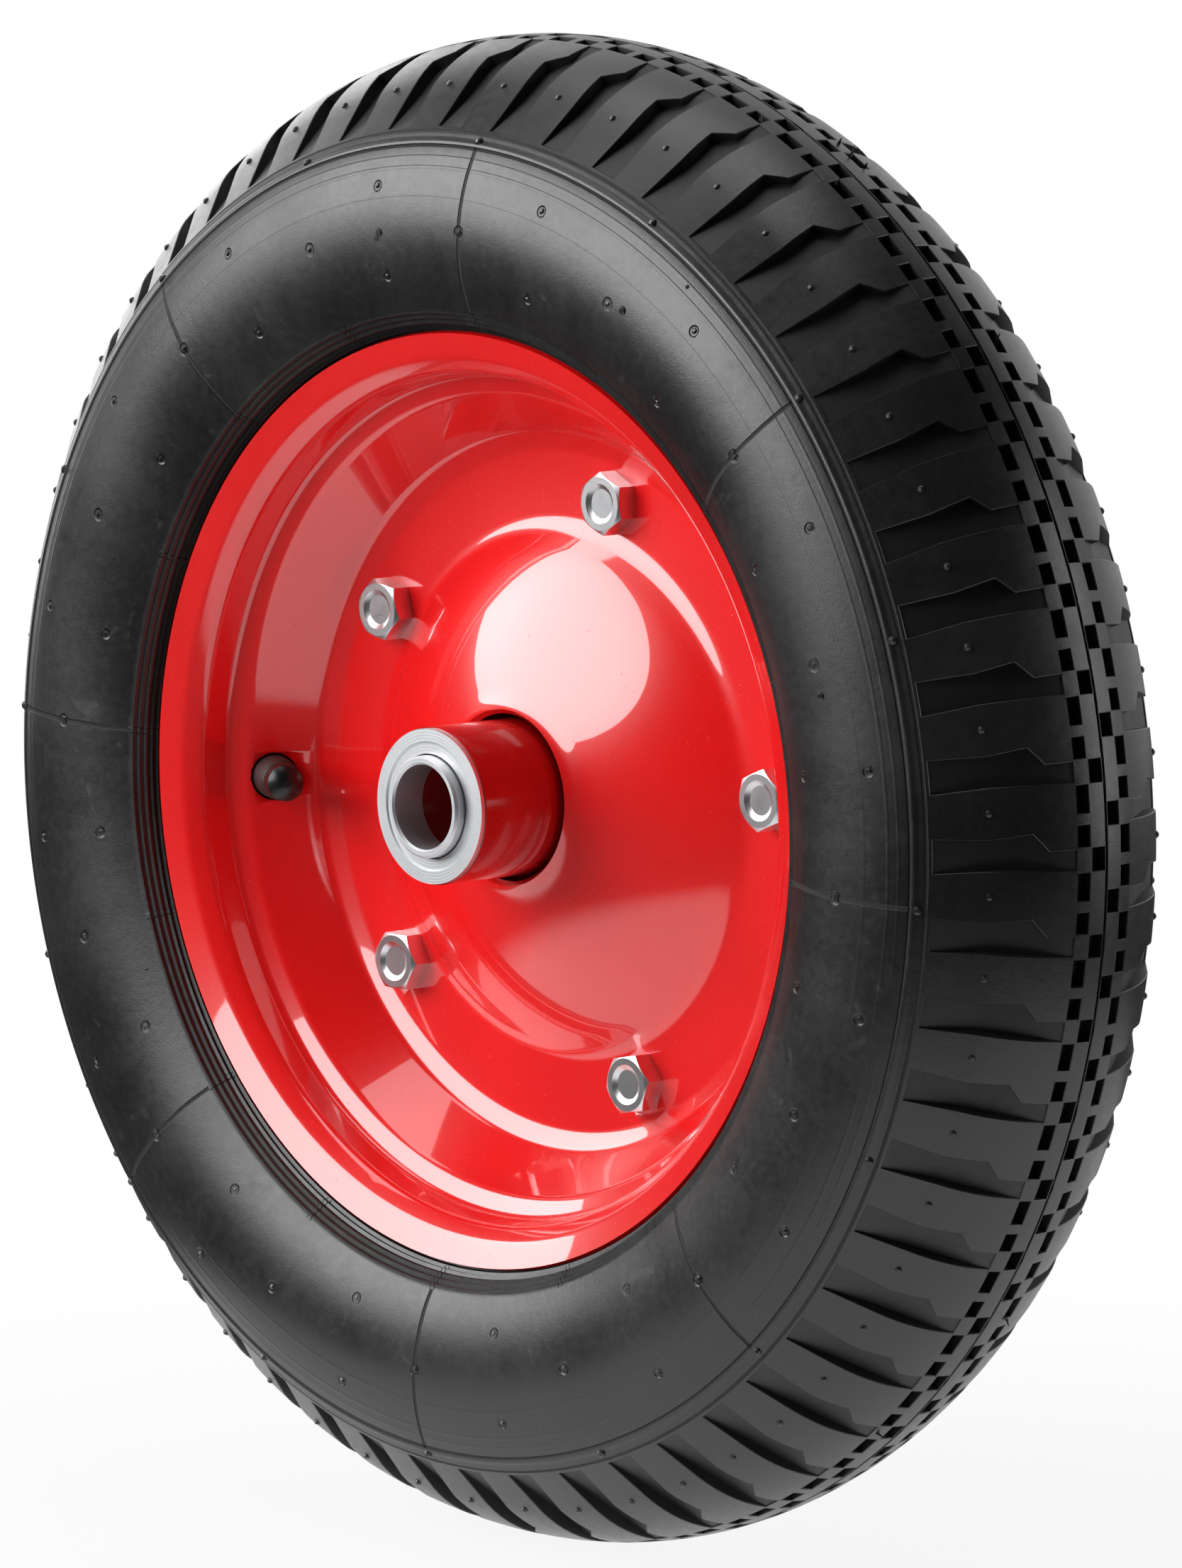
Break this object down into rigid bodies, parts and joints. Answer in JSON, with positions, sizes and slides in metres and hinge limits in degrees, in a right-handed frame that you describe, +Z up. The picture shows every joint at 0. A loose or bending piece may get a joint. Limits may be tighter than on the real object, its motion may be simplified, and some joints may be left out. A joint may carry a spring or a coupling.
{
  "type": "wheelbarrow wheel",
  "caption": "Wheel with a block-tread pneumatic tyre on a bolted two-piece pressed steel rim, tyre valve and a welded hub tube with ball bearings.",
  "frame": {"origin": "middle of the wheel, on its axle line, half way along the hub tube", "axes": "+Y along the axle towards the back of the wheel, where the nuts are; -Y is the front with the bolt heads and the valve; +Z up; +X to the right, seen from the front"},
  "size_m": [0.356, 0.0938, 0.356],
  "materials": {
    "tyre": "matt black rubber",
    "tube": "matt black rubber",
    "paint": "gloss red paint",
    "zinc": "bright zinc",
    "bearing": "satin steel",
    "balls": "polished steel",
    "stem": "dark brown rubber",
    "brass": "satin brass",
    "cap": "gloss black"
  },
  "bodies": {
    "axle_side": {"race_front": "bearing", "race_back": "bearing"},
    "wheel": {"tyre": "tyre", "inner_tube": "tube", "rim_front": "paint", "rim_back": "paint", "hub_tube": "paint", "hub_weld": "paint", "bearing_shell_front": "bearing", "bearing_shell_back": "bearing", "rim_bolts": "zinc", "rim_nuts": "zinc", "valve_rubber": "stem", "valve_body": "brass", "valve_core": "brass"},
    "ball_sets": {"ball_retainers": "zinc", "bearing_balls": "balls"},
    "cap": {"valve_cap": "cap"},
    "pin": {"valve_pin": "brass"}
  },
  "joints": [
    {"name": "wheel_spin", "type": "hinge", "parent": "axle_side", "child": "wheel", "pos_m": [0, 0, 0], "axis": [0, 1, 0], "continuous": true},
    {"name": "ball_sets_turn", "type": "hinge", "parent": "axle_side", "child": "ball_sets", "pos_m": [0, 0, 0], "axis": [0, 1, 0], "continuous": true},
    {"name": "valve_cap_off", "type": "slide", "parent": "wheel", "child": "cap", "axis": [0.8373, -0.5454, 0.0395], "range_m": [0, 0.012]},
    {"name": "valve_pin_press", "type": "slide", "parent": "wheel", "child": "pin", "axis": [-0.8373, 0.5454, -0.0395], "range_m": [0, 0.001], "stiffness_N_per_m": 200, "springref_m": -0.0005}
  ],
  "couplings": [
    {"joint": "ball_sets_turn", "follows": "wheel_spin", "ratio": 0.5755}
  ]
}
